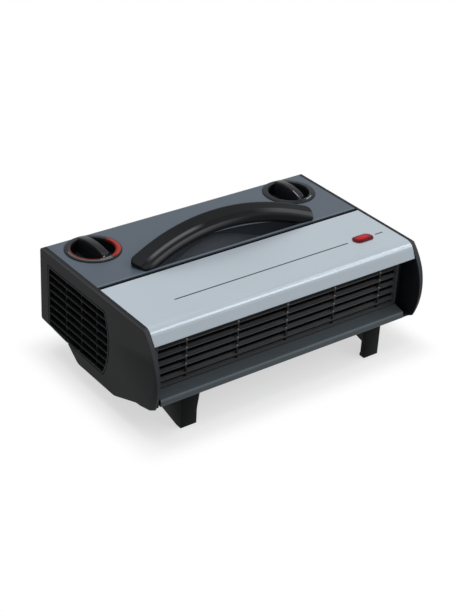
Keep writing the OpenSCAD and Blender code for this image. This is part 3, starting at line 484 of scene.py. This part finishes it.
def switch_body(finish):
    coat(finish, shade(214, 209, 196), 0.5, 1200, 0.00002, 0.04, 0.4)


def lamination(finish):
    sheets = finish.node("ShaderNodeTexWave", {"bands_direction": "X"},
                         {"Vector": finish.where(), "Scale": 320.0}, "Fac")
    tone = finish.blend(shade(86, 88, 90), shade(150, 152, 156), sheets)
    finish.surface(tone, sheets * -0.2 + 0.55, sheets, 0.00008, 0.8)


def winding(finish):
    turns = finish.node("ShaderNodeTexWave", {"bands_direction": "Z"},
                        {"Vector": finish.where(), "Scale": 260.0}, "Fac")
    tone = finish.blend(shade(110, 50, 22), shade(196, 110, 58), turns)
    finish.surface(tone, 0.3, turns, 0.0001, specular=0.5)


def zinc_steel(finish):
    brushed(finish, shade(176, 180, 184), 0.4, (1, 0.2, 1))


def shaft_steel(finish):
    brushed(finish, shade(190, 192, 194), 0.25, (1, 0.1, 0.1))


def fan_plastic(finish):
    coat(finish, shade(58, 61, 65), 0.45, 900, 0.00002, 0.06, 0.4)


def duct_steel(finish):
    brushed(finish, shade(150, 153, 156), 0.45, (0.1, 1, 1))


def mica(finish):
    layers = finish.noise(380, 4, (1, 1, 0.2))
    tone = finish.blend(shade(150, 132, 88), shade(206, 190, 146), layers)
    finish.surface(tone, 0.6, layers, 0.00008)


def element(finish):
    heat = finish.noise(60, 3)
    tone = finish.blend(shade(70, 44, 36), shade(140, 92, 62), heat * 1.6 - 0.3)
    finish.surface(tone, heat * 0.3 + 0.3, finish.noise(1500), 0.00002, 0.7)


def screw_steel(finish):
    brushed(finish, shade(170, 172, 176), 0.35)


def rod_steel(finish):
    """Steel painted near black as painted shadow from the slats above, with painted highlight bands where
    it meets each slat but the lowest.
    """
    x, y, z = finish.place()
    first = z - (SLAT_LOW_Z + SLAT_PITCH - 0.0008)
    # Painted highlight bands where the rod meets each slat but the lowest
    painted_highlight_bands = first.math("MODULO", first, SLAT_PITCH).between(0.0, 0.0034)
    lines = finish.noise(1600, 3, (1, 1, 0.1))
    # Painted shadow: the rest of the rod is near black
    painted_shadow_tone = finish.blend(shade(14, 14, 15), shade(26, 26, 27), lines)
    tone = finish.blend(painted_shadow_tone, shade(140, 140, 140), painted_highlight_bands * (lines * 0.5 + 0.6))
    finish.surface(tone, lines * 0.2 + 0.3, lines, 0.00001, painted_highlight_bands * 0.4, specular=0.2)


def bar_plastic(finish):
    coat(finish, shade(14, 14, 15), 0.5, 1500, 0.00002, 0.1, 0.05)


FINISHES = {look.__name__: look for look in (
    cover_paint, trim_paint, silver_paint, panel_black, cap_plastic, grille_plastic, handle_plastic,
    recess_plastic, dial_plastic, knob_plastic, lens_red, switch_body, foot_plastic, lamination,
    winding, zinc_steel, shaft_steel, fan_plastic, duct_steel, mica, element, screw_steel, rod_steel,
    bar_plastic)}
materials = {}


def material(slot, *choice):
    """The material of a slot, made the first time that it is asked for."""
    name = "_".join([slot] + ["left" if side < 0 else "right" for side in choice])
    if name not in materials:
        made = bpy.data.materials.new(name)
        made.use_nodes = True
        FINISHES[slot](Finish(made.node_tree), *choice)
        materials[name] = made
    return materials[name]


def wear(piece, look):
    """Gives the whole piece one material."""
    piece.data.materials.clear()
    piece.data.materials.append(look)
    for face in piece.data.polygons:
        face.material_index = 0


SLOTS = {part["node"]: part["material_slot"] for part in frame["record"]["subparts"]}
SIDES = {"thermostat_dial_ring": -1, "selector_dial_ring": 1, "thermostat_knob": -1, "selector_knob": 1}
OWN_LOOKS = {"lower_trim": "trim_paint", "handle_recess": "recess_plastic"}


def look_of(node):
    """A node's material: its slot's, for a dial or knob that of its side, or its own."""
    side = SIDES.get(node)
    if side is not None:
        return material(SLOTS[node], side)
    return material(OWN_LOOKS.get(node, SLOTS[node]))


# Modelling steps
def start(name, kind, place=(0, 0, 0), stretch=(1, 1, 1), **options):
    """Adds a primitive at its size and place and opens it in edit mode with nothing selected."""
    getattr(bpy.ops.mesh, "primitive_%s_add" % kind)(location=place, **options)
    piece = bpy.context.object
    piece.name = name
    piece.data.name = name
    piece.scale = stretch
    bpy.ops.object.transform_apply(location=True, rotation=True, scale=True)
    bpy.ops.object.mode_set(mode="EDIT")
    bpy.ops.mesh.select_all(action="DESELECT")
    return piece


def pick(test, kind="verts"):
    """Selects the vertices whose place passes the test, or the faces whose place and normal do."""
    mesh = bpy.context.edit_object.data
    bpy.ops.mesh.select_mode(type="VERT" if kind == "verts" else "FACE")
    bpy.ops.mesh.select_all(action="DESELECT")
    model = bmesh.from_edit_mesh(mesh)
    for part in getattr(model, kind):
        if kind == "verts":
            chosen = test(part.co)
        else:
            chosen = test(part.calc_center_median(), part.normal)
        if chosen:
            part.select_set(True)
    model.select_flush_mode()
    bmesh.update_edit_mesh(mesh)


def move(x=0.0, z=0.0):
    bpy.ops.transform.translate(value=(x, 0.0, z))


def extrude(z):
    bpy.ops.mesh.extrude_region_move(TRANSFORM_OT_translate={"value": (0.0, 0.0, z)})


def resize(x, y):
    """Resizes what is selected about the origin."""
    bpy.ops.transform.resize(value=(x, y, 1.0), center_override=(0, 0, 0))


def leave():
    """Closes edit mode."""
    bpy.ops.object.mode_set(mode="OBJECT")


def turn_and_place(piece, place, angle=0.0, axis="Z"):
    """Turns a finished shape about the origin, sets it in its place and keeps that in the mesh."""
    bpy.ops.object.select_all(action="DESELECT")
    piece.select_set(True)
    bpy.context.view_layer.objects.active = piece
    piece.rotation_euler = [math.radians(angle) if axis == letter else 0.0 for letter in "XYZ"]
    piece.location = place
    bpy.ops.object.transform_apply(location=True, rotation=True, scale=True)


def bevel_edges(piece, width, segments=2, angle=30):
    """Rounds the piece's sharp edges with an applied Bevel modifier."""
    bpy.context.view_layer.objects.active = piece
    rounding = piece.modifiers.new("Rounded edges", "BEVEL")
    rounding.width = width
    rounding.segments = segments
    rounding.limit_method = "ANGLE"
    rounding.angle_limit = math.radians(angle)
    rounding.use_clamp_overlap = False
    rounding.miter_outer = "MITER_ARC"
    bpy.ops.object.modifier_apply(modifier=rounding.name)


def set_smooth(piece, angle):
    bpy.ops.object.select_all(action="DESELECT")
    piece.select_set(True)
    bpy.context.view_layer.objects.active = piece
    bpy.ops.object.shade_smooth_by_angle(angle=math.radians(angle))


def join(name, pieces):
    bpy.ops.object.select_all(action="DESELECT")
    for piece in pieces:
        piece.select_set(True)
    bpy.context.view_layer.objects.active = pieces[0]
    bpy.ops.object.join()
    pieces[0].name = name
    pieces[0].data.name = name
    return pieces[0]


def raised_copy(piece, name, z):
    """A copy with its own mesh, raised in its mesh."""
    made = bpy.data.objects.new(name, piece.data.copy())
    bpy.context.scene.collection.objects.link(made)
    for vertex in made.data.vertices:
        vertex.co += Vector((0, 0, z))
    return made


def fit(piece, slot, body, *replaced, look=None, angle=35):
    """Gives a finished piece its material, its body and the nodes that it stands for."""
    set_smooth(piece, angle)
    wear(piece, look or material(slot))
    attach(piece, body)
    if replaced:
        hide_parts(*replaced)
    piece.select_set(False)


# The frame's own nodes
def merged_copy(node, name):
    """A copy of a node's mesh with its loose triangles merged."""
    piece = bpy.data.objects.new(name, nodes[node].data.copy())
    bpy.context.scene.collection.objects.link(piece)
    bpy.ops.object.select_all(action="DESELECT")
    piece.select_set(True)
    bpy.context.view_layer.objects.active = piece
    bpy.ops.mesh.customdata_custom_splitnormals_clear()
    bpy.ops.object.mode_set(mode="EDIT")
    bpy.ops.mesh.select_all(action="SELECT")
    bpy.ops.mesh.remove_doubles(threshold=0.000002)
    leave()
    return piece


def dress(node, width):
    """A copy of a node with its edges rounded, which stands for the node."""
    piece = merged_copy(node, node + "_edged")
    bpy.ops.object.mode_set(mode="EDIT")
    bpy.ops.mesh.select_all(action="SELECT")
    bpy.ops.mesh.dissolve_limited(angle_limit=math.radians(0.2))
    leave()
    bevel_edges(piece, width)
    fit(piece, SLOTS[node], nodes[node]["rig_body"], node, look=look_of(node))


def model_handle():
    """The handle, with the soft ridges and rounded noses of a moulding."""
    piece = merged_copy("handle", "handle_moulded")
    mesh = piece.modifiers.new("Even mesh", "REMESH")
    mesh.mode = "VOXEL"
    mesh.voxel_size = 0.0009
    bpy.ops.object.modifier_apply(modifier=mesh.name)
    for vertex in piece.data.vertices:
        beyond = max(abs(vertex.co.x) - NOSE_FROM_X, 0.0) / 0.02
        beside = 1 - ((vertex.co.y - NOSE_Y) / 0.02) ** 2
        vertex.co.x += math.copysign(NOSE_REACH, vertex.co.x) * beyond ** 2 * max(beside, 0.0)
    soften = piece.modifiers.new("Soft ridges", "SMOOTH")
    soften.factor = 0.5
    soften.iterations = 7
    bpy.ops.object.modifier_apply(modifier=soften.name)
    fit(piece, "handle_plastic", "housing", "handle", angle=60)


EDGED = {
    "thermostat_dial_ring": 0.0003, "selector_dial_ring": 0.0003,
    "front_foot_left": 0.0005, "front_foot_right": 0.0005, "rear_foot_left": 0.0005,
    "rear_foot_right": 0.0005, "cord_gland": 0.0006, "terminal_block": 0.0004,
}


def dress_nodes():
    for node, piece in nodes.items():
        wear(piece, look_of(node))
    for node, width in EDGED.items():
        dress(node, width)


# Knobs
def oblong(name, length, width, z):
    """A flat oblong face, made from a disc whose two halves are drawn apart."""
    piece = start(name, "circle", (0, 0, z), vertices=48, radius=width / 2, fill_type="NGON")
    half = (length - width) / 2
    pick(lambda place: place.x > 0.00001)
    move(x=half)
    pick(lambda place: place.x < -0.00001)
    move(x=-half)
    return piece


GRIP_FOOT_W = 0.0125
GRIP_TOP_W = 0.0095
GRIP_ARCH_R = 0.085


def shape_with(piece, tool, operation):
    """Applies a Boolean of the piece with a tool, which is then removed."""
    bpy.context.view_layer.objects.active = piece
    cut = piece.modifiers.new("Shaped", "BOOLEAN")
    cut.operation = operation
    cut.object = tool
    cut.solver = "EXACT"
    bpy.ops.object.modifier_apply(modifier=cut.name)
    bpy.data.objects.remove(tool)


def model_knob(node, body, side, turn):
    """A knob in its well: a dished disc, and a grip that narrows upwards with an arched top."""
    low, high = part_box(node)
    disc_top = low.z + 0.003
    radius = (high.y - low.y) / 2 - 0.0001
    disc = start(node + "_disc", "cylinder", (0, 0, low.z + 0.0015), vertices=96,
                 radius=radius, depth=0.003)
    pick(lambda place, normal: normal.z > 0.9, "faces")
    bpy.ops.mesh.inset(thickness=0.0012)
    extrude(z=-0.0005)
    leave()
    bevel_edges(disc, 0.0003)
    foot_z = disc_top - 0.001
    grip = start(node + "_grip", "cube", (0, 0, (foot_z + high.z) / 2),
                 (2 * radius + 0.004, GRIP_FOOT_W, high.z - foot_z), size=1)
    pick(lambda place: place.z > disc_top)
    resize(1, GRIP_TOP_W / GRIP_FOOT_W)
    leave()
    upright = start("upright", "cylinder", (0, 0, TOP), vertices=128, radius=radius, depth=0.1)
    leave()
    shape_with(grip, upright, "INTERSECT")
    lying = start("lying", "cylinder", vertices=512, radius=GRIP_ARCH_R, depth=0.1)
    leave()
    turn_and_place(lying, (0, 0, high.z - GRIP_ARCH_R), 90, "X")
    shape_with(grip, lying, "INTERSECT")
    bevel_edges(grip, 0.0011, 4, 25)
    knob = join(node + "_moulded", [grip, disc])
    turn_and_place(knob, (side * DIAL_X, DIAL_Y, 0), 90 - turn)
    fit(knob, "knob_plastic", body, node, look=look_of(node), angle=40)


# Indicator lens
def model_lens():
    """The indicator's lens: a plug in the panel, a flange and a domed window."""
    low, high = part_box("indicator_lens")
    length = high.x - low.x
    width = high.y - low.y
    plug = oblong("lens_plug", length - 0.0046, width - 0.004, low.z)
    bpy.ops.mesh.select_all(action="SELECT")
    extrude(z=TOP - low.z + 0.0004)
    bpy.ops.mesh.select_all(action="SELECT")
    bpy.ops.mesh.normals_make_consistent(inside=False)
    leave()
    window = oblong("lens_window", length, width, TOP)
    bpy.ops.mesh.select_all(action="SELECT")
    extrude(z=0.0011)
    pick(lambda place, normal: normal.z > 0.9, "faces")
    bpy.ops.mesh.inset(thickness=0.0015)
    extrude(z=-0.0005)
    bpy.ops.mesh.inset(thickness=0.0004)
    extrude(z=high.z - TOP - 0.0010)
    resize(0.96, 0.9)
    bpy.ops.mesh.inset(thickness=0.0018)
    move(z=0.0004)
    bpy.ops.mesh.select_all(action="SELECT")
    bpy.ops.mesh.normals_make_consistent(inside=False)
    leave()
    bevel_edges(window, 0.0003, 3, 25)
    lens = join("lens_moulded", [window, plug])
    turn_and_place(lens, (LAMP.x, LAMP.y, 0))
    fit(lens, "lens_red", "housing", "indicator_lens", angle=50)


# End caps, with the edges of their louvres' field
LOUVRE_Y = REAR - 0.062
LOUVRE_Z = TOP - 0.058
LOUVRE_R = 0.089
LOUVRE_TOP = TOP - 0.0196
LOUVRE_LOW = LOUVRE_TOP - 0.08135
LOUVRE_REAR = REAR - 0.02
LOUVRE_FRONT = REAR - 0.16
LOUVRE_DEPTH = 0.0085
REAR_RISE = 0.0026
EMBED = 0.0004
BLADES = 7
BLADE_PITCH = 0.01065
BLADE_SIZE = (0.0036, 0.16, 0.0013)
BLADE_X = 0.1977
BLADE_Y = REAR - 0.09
FIRST_BLADE_Z = LOUVRE_TOP - 0.0087
RIBS = 3
RIB_PITCH = 0.034
RIB_SIZE = (0.0026, 0.0026, 0.1)
RIB_X = 0.1948
SILL = Vector((0.19875, REAR - 0.0382, 0.046))
SILL_SIZE = (0.0025, 0.0435, 0.0021)
SILL_FALL = 0.003


def louvre_field(x, grow=0.0):
    """The louvres' field as a block: a disc cut off above, behind and, along a slope, below."""
    field = start("louvre_field", "cylinder", vertices=160, radius=LOUVRE_R + grow, depth=LOUVRE_DEPTH)
    leave()
    turn_and_place(field, (x, LOUVRE_Y, LOUVRE_Z), 90, "Y")
    place = (x, (LOUVRE_REAR + LOUVRE_FRONT) / 2, (LOUVRE_TOP + LOUVRE_LOW) / 2)
    length = LOUVRE_REAR - LOUVRE_FRONT + 2 * grow
    height = LOUVRE_TOP - LOUVRE_LOW + 2 * grow
    block = start("louvre_block", "cube", place, (LOUVRE_DEPTH + 0.01, length, height), size=1)
    pick(lambda corner: corner.y > LOUVRE_Y and corner.z < LOUVRE_Z)
    move(z=REAR_RISE)
    leave()
    shape_with(field, block, "INTERSECT")
    return field


def model_cap(node, side):
    """An end cap with thin louvre blades in its field, ribs behind them and a sill below."""
    cap = merged_copy(node, node + "_moulded")
    shape_with(cap, louvre_field(side * (HALF_W - 0.00275)), "DIFFERENCE")
    blades = []
    for i in range(BLADES):
        place = (side * BLADE_X, BLADE_Y, FIRST_BLADE_Z - i * BLADE_PITCH)
        blade = start("blade", "cube", place, BLADE_SIZE, size=1)
        leave()
        bevel_edges(blade, 0.0003)
        blades.append(blade)
    blades = join("blades", blades)
    shape_with(blades, louvre_field(side * BLADE_X, EMBED), "INTERSECT")
    ribs = []
    for i in range(1, RIBS + 1):
        place = (side * RIB_X, LOUVRE_REAR - i * RIB_PITCH, LOUVRE_Z)
        ribs.append(start("rib", "cube", place, RIB_SIZE, size=1))
        leave()
    ribs = join("ribs", ribs)
    shape_with(ribs, louvre_field(side * RIB_X, EMBED), "INTERSECT")
    sill = start("sill", "cube", (side * SILL.x, SILL.y, SILL.z), SILL_SIZE, size=1)
    pick(lambda corner: corner.y < SILL.y)
    move(z=-SILL_FALL)
    leave()
    bevel_edges(sill, 0.0003)
    cap = join(node + "_moulded", [cap, blades, ribs, sill])
    fit(cap, "cap_plastic", "housing", node)


# Outlet grille
def model_grille():
    """The outlet grille: rounded slats that fall to the front, bars, steel rods and a frame."""
    low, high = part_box("outlet_grille")
    depth = high.y - low.y
    middle_y = (high.y + low.y) / 2
    width = high.x - low.x
    slat = start("grille_slat", "cube", (0, middle_y, SLAT_LOW_Z + SLAT_T / 2),
                 (width, depth, SLAT_T), size=1)
    pick(lambda place: place.y < middle_y)
    move(z=-SLAT_FALL / 2)
    pick(lambda place: place.y > middle_y)
    move(z=SLAT_FALL / 2)
    leave()
    bevel_edges(slat, 0.0007, 3)
    slats = [slat] + [raised_copy(slat, "slat", i * SLAT_PITCH) for i in range(1, SLATS)]
    slats = join("grille_slats", slats)
    fit(slats, "grille_plastic", "housing", "outlet_grille")

    bars = []
    for i in range(BARS):
        x = (i - (BARS - 1) / 2) * BAR_PITCH
        bar = start("grille_bar", "cube", (x, high.y - BAR_INSET, (low.z + high.z) / 2),
                    (0.0024, BAR_D, high.z - low.z - 0.006), size=1)
        leave()
        bevel_edges(bar, 0.0005)
        bars.append(bar)
    fit(join("grille_bars", bars), "grille_plastic", "housing", look=material("bar_plastic"))

    posts = []
    for x in (low.x + 0.0015, high.x - 0.0015):
        post = start("grille_post", "cube", (x, middle_y, (low.z + high.z) / 2),
                     (0.003, depth, high.z - low.z - 0.0005), size=1)
        leave()
        bevel_edges(post, 0.0005)
        posts.append(post)
    rail = start("grille_rail", "cube", (0, middle_y, high.z - 0.001), (width, depth, 0.002), size=1)
    leave()
    bevel_edges(rail, 0.0004)
    sill_y = high.y - GRILLE_SILL_D / 2 - GRILLE_SILL_INSET
    sill = start("grille_sill", "cube", (0, sill_y, (low.z + GRILLE_SILL_TOP) / 2),
                 (width, GRILLE_SILL_D, GRILLE_SILL_TOP - low.z), size=1)
    leave()
    bevel_edges(sill, 0.0004)
    frame_piece = join("grille_frame", posts + [rail, sill])
    fit(frame_piece, "grille_plastic", "housing")

    rods = []
    for i in range(BARS):
        x = (i - (BARS - 1) / 2) * BAR_PITCH + ROD_SHIFT
        rod = start("grille_rod", "cylinder", (x, low.y + 0.0016, (low.z + high.z) / 2),
                    vertices=24, radius=0.0014, depth=high.z - low.z - 0.006)
        leave()
        rods.append(rod)
    rods = join("grille_rods", rods)
    bevel_edges(rods, 0.0003)
    fit(rods, "screw_steel", "housing", look=material("rod_steel"))


# Screws: the places of their heads
REAR_HEADS = [(x, REAR, 0.054) for x in (-0.175, -0.06, 0.06, 0.175)]
FOOT_HEADS = [(x, REAR - y, z) for x in (-0.14025, 0.14025) for y, z in ((0.208, 0.034), (0.036, 0.038))]


def model_screw(name, radius, height):
    """A pan-head screw's head with a cross recess, about the origin, facing up."""
    head = start(name, "cylinder", (0, 0, height / 2), vertices=40, radius=radius, depth=height)
    pick(lambda place, normal: normal.z > 0.9, "faces")
    bpy.ops.mesh.bevel(offset=height * 0.55, segments=4)
    leave()
    for size in ((radius * 1.1, radius * 0.26, height), (radius * 0.26, radius * 1.1, height)):
        cutter = start("cutter", "cube", (0, 0, height), size, size=1)
        pick(lambda place: place.z < height * 0.75)
        resize(0.6, 0.6)
        leave()
        shape_with(head, cutter, "DIFFERENCE")
    return head


def model_screws():
    """The heads of the rear and foot screws, which stand for their nodes."""
    heads = []
    for i, place in enumerate(REAR_HEADS):
        head = model_screw("rear_head_%d" % i, 0.0038, 0.002)
        turn_and_place(head, (0, 0, 0), 35 * i)
        turn_and_place(head, place, -90, "X")
        heads.append(head)
    fit(join("rear_screw_heads", heads), "screw_steel", "housing", "rear_screws")
    heads = []
    for i, place in enumerate(FOOT_HEADS):
        head = model_screw("foot_head_%d" % i, 0.0038, 0.002)
        turn_and_place(head, (0, 0, 0), 25 * i)
        turn_and_place(head, place, 180, "X")
        heads.append(head)
    fit(join("foot_screw_heads", heads), "screw_steel", "housing", "foot_screws")


# Floor, background and lights
FLOOR_PALE = 0.6
FLOOR_WHITE_FROM = 0.038
AMBIENT = 0.42
LIGHT_AIM = Vector((0, 0, 0.08))


def seen_directly(finish):
    """1 for rays from the camera and those that gloss and glass send on."""
    path = finish.node("ShaderNodeLightPath").socket.node
    seen = Number(finish, path.outputs["Is Camera Ray"])
    for name in ("Is Glossy Ray", "Is Transmission Ray"):
        seen = seen.most(Number(finish, path.outputs[name]))
    return seen


def set_floor():
    """A wide pale floor that keeps the heater's shadow and goes to white a little way off."""
    bpy.ops.mesh.primitive_plane_add(size=12)
    floor = bpy.context.object
    floor.name = "floor"
    made = bpy.data.materials.new("pale_floor")
    made.use_nodes = True
    finish = Finish(made.node_tree)
    x, y, z = finish.place()
    beside = (abs(x) - HALF_W).most(0.0)
    before = (abs(y) - HALF_D).most(0.0)
    away = (beside * beside + before * before).root()
    seen = seen_directly(finish)
    grain = finish.noise(180)
    paint = finish.blend(shade(168, 169, 171), shade(248, 248, 250), seen)
    tone = finish.blend(paint, shade(250, 250, 252), grain * seen * 0.3)
    matt = finish.node("ShaderNodeBsdfDiffuse", sockets={"Color": tone})
    glow = finish.node("ShaderNodeEmission", sockets={"Color": (1, 1, 1, 1), "Strength": 1.0})
    share = (away.ramp(0.0, FLOOR_WHITE_FROM) * (1 - FLOOR_PALE) + FLOOR_PALE) * seen
    mixed = finish.node("ShaderNodeMixShader", sockets={0: share, 1: matt, 2: glow})
    finish.node("ShaderNodeOutputMaterial", sockets={"Surface": mixed})
    wear(floor, made)
    floor.select_set(False)


def set_world():
    world = bpy.data.worlds.new("studio")
    world.use_nodes = True
    bpy.context.scene.world = world
    finish = Finish(world.node_tree)
    soft = finish.node("ShaderNodeBackground", sockets={"Color": (1, 1, 1, 1), "Strength": AMBIENT})
    white = finish.node("ShaderNodeBackground", sockets={"Color": (1, 1, 1, 1), "Strength": 1.0})
    mixed = finish.node("ShaderNodeMixShader", sockets={0: seen_directly(finish), 1: soft, 2: white})
    finish.node("ShaderNodeOutputWorld", sockets={"Surface": mixed})


def add_light(name, place, power, width, depth):
    """A soft rectangular lamp that faces the middle of the heater."""
    bpy.ops.object.light_add(type="AREA", location=place)
    lamp = bpy.context.object
    lamp.name = name
    lamp.data.shape = "RECTANGLE"
    lamp.data.size = width
    lamp.data.size_y = depth
    lamp.data.energy = power
    lamp.rotation_euler = (LIGHT_AIM - Vector(place)).to_track_quat("-Z", "Y").to_euler()
    lamp.select_set(False)


def set_lights():
    add_light("overhead", (-0.2, 0.15, 1.7), power=16.5, width=1.1, depth=1.1)
    add_light("front_strip", (1.0, -0.92, 1.3), power=8, width=1.6, depth=0.32)


bpy.context.scene.view_settings.view_transform = "Standard"
set_camera()
set_world()
set_floor()
set_lights()
dress_nodes()
model_handle()
model_cap("left_end_cap", -1)
model_cap("right_end_cap", 1)
model_knob("thermostat_knob", "thermostat_control", -1, THERMOSTAT_TURN)
model_knob("selector_knob", "selector_control", 1, SELECTOR_TURN)
model_lens()
model_grille()
model_screws()
